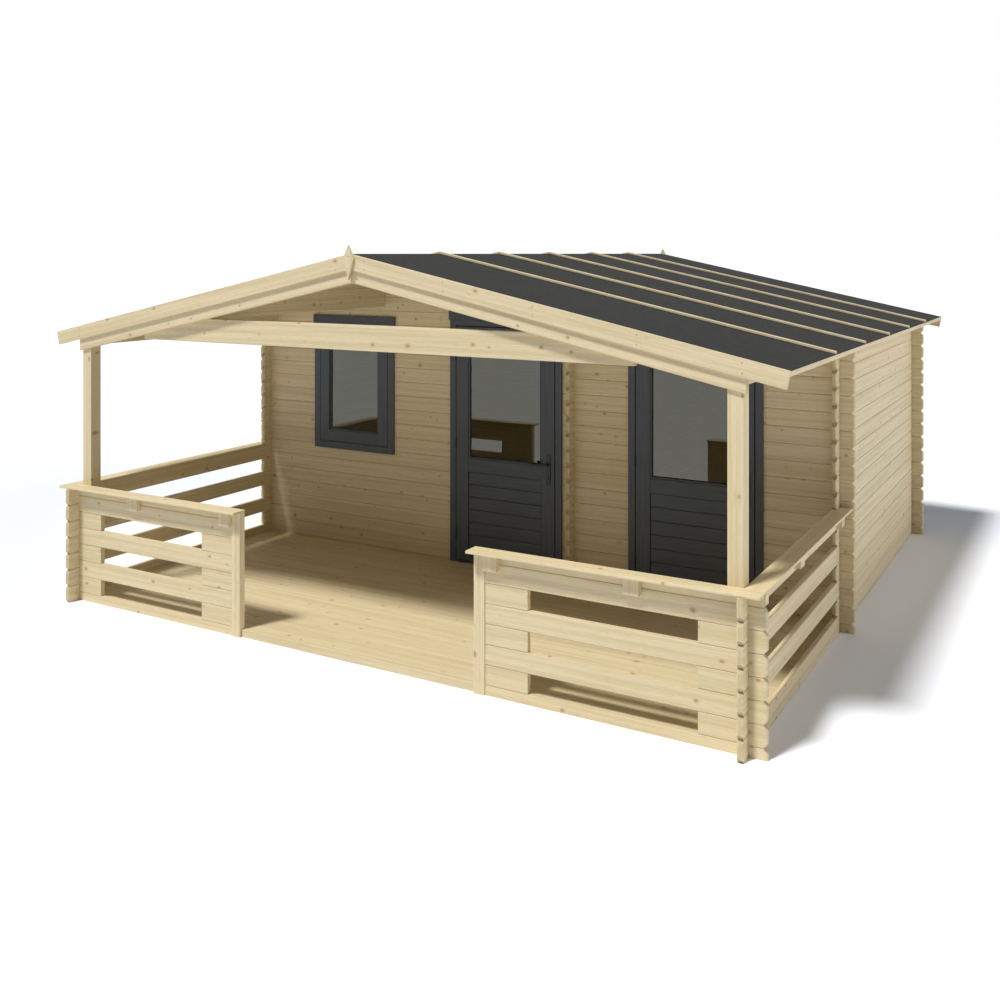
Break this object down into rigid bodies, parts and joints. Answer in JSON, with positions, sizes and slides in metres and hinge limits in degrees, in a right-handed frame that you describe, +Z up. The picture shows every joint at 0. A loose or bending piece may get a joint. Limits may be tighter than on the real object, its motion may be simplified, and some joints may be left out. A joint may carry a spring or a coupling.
{
  "type": "log garden shed with veranda",
  "caption": "Log-built garden shed with notched corners, a gable roof over a railed veranda, a window, and glazed doors that swing out to separate rooms.",
  "frame": {"origin": "middle of the overall box at ground level", "axes": "+X to the right seen from the veranda, +Y from the veranda to the rear, +Z up"},
  "size_m": [5.624, 5.592, 2.6676],
  "materials": {
    "timber": "planed pale spruce, untreated",
    "joinery": "satin anthracite paint on wood",
    "glass": "clear double glazing",
    "fittings": "black powder coat",
    "felt": "mineral-faced roofing felt"
  },
  "bodies": {
    "shed": {"left_wall": "timber", "right_wall": "timber", "rear_wall": "timber", "partition_wall": "timber", "front_wall_left": "timber", "front_wall_middle": "timber", "front_wall_right": "timber", "front_gable": "timber", "cabin_floor": "timber", "veranda_floor": "timber", "floor_joists": "timber", "front_railings": "timber", "side_railings": "timber", "entrance_posts": "timber", "entrance_edge": "timber", "front_caps": "timber", "side_caps": "timber", "cap_blocks": "timber", "corner_posts": "timber", "left_rafter": "timber", "right_rafter": "timber", "tie_beam": "timber", "ridge_purlin": "timber", "side_purlins": "timber", "eave_beams": "timber", "left_roof_boards": "timber", "right_roof_boards": "timber", "roof_felt": "felt", "roof_battens": "timber", "left_bargeboards": "timber", "right_bargeboards": "timber", "finials": "timber", "eave_trims": "timber", "window_frame": "joinery", "window_sash": "joinery", "window_glass": "glass", "head_trims": "joinery", "door_jambs": "joinery", "door_heads": "joinery", "door_sills": "joinery", "frame_hinges": "fittings"},
    "left_door": {"left_door_leaf": "joinery", "left_door_glass": "glass", "left_door_fittings": "fittings"},
    "right_door": {"right_door_leaf": "joinery", "right_door_glass": "glass", "right_door_fittings": "fittings"},
    "left_lever": {"left_door_lever": "fittings"},
    "right_lever": {"right_door_lever": "fittings"}
  },
  "joints": [
    {"name": "left_door_hinge", "type": "hinge", "parent": "shed", "child": "left_door", "pos_m": [-0.5255, -0.5855, 1], "axis": [0, 0, -1], "range_deg": [0, 100]},
    {"name": "left_lever_turn", "type": "hinge", "parent": "left_door", "child": "left_lever", "pos_m": [0.34, -0.579, 0.938], "axis": [0, -1, 0], "range_deg": [0, 40], "stiffness_Nm_per_rad": 0.8, "springref_deg": -57.3},
    {"name": "right_door_hinge", "type": "hinge", "parent": "shed", "child": "right_door", "pos_m": [1.0795, -0.5855, 1], "axis": [0, 0, -1], "range_deg": [0, 100]},
    {"name": "right_lever_turn", "type": "hinge", "parent": "right_door", "child": "right_lever", "pos_m": [1.945, -0.579, 0.938], "axis": [0, -1, 0], "range_deg": [0, 40], "stiffness_Nm_per_rad": 0.8, "springref_deg": -57.3}
  ]
}
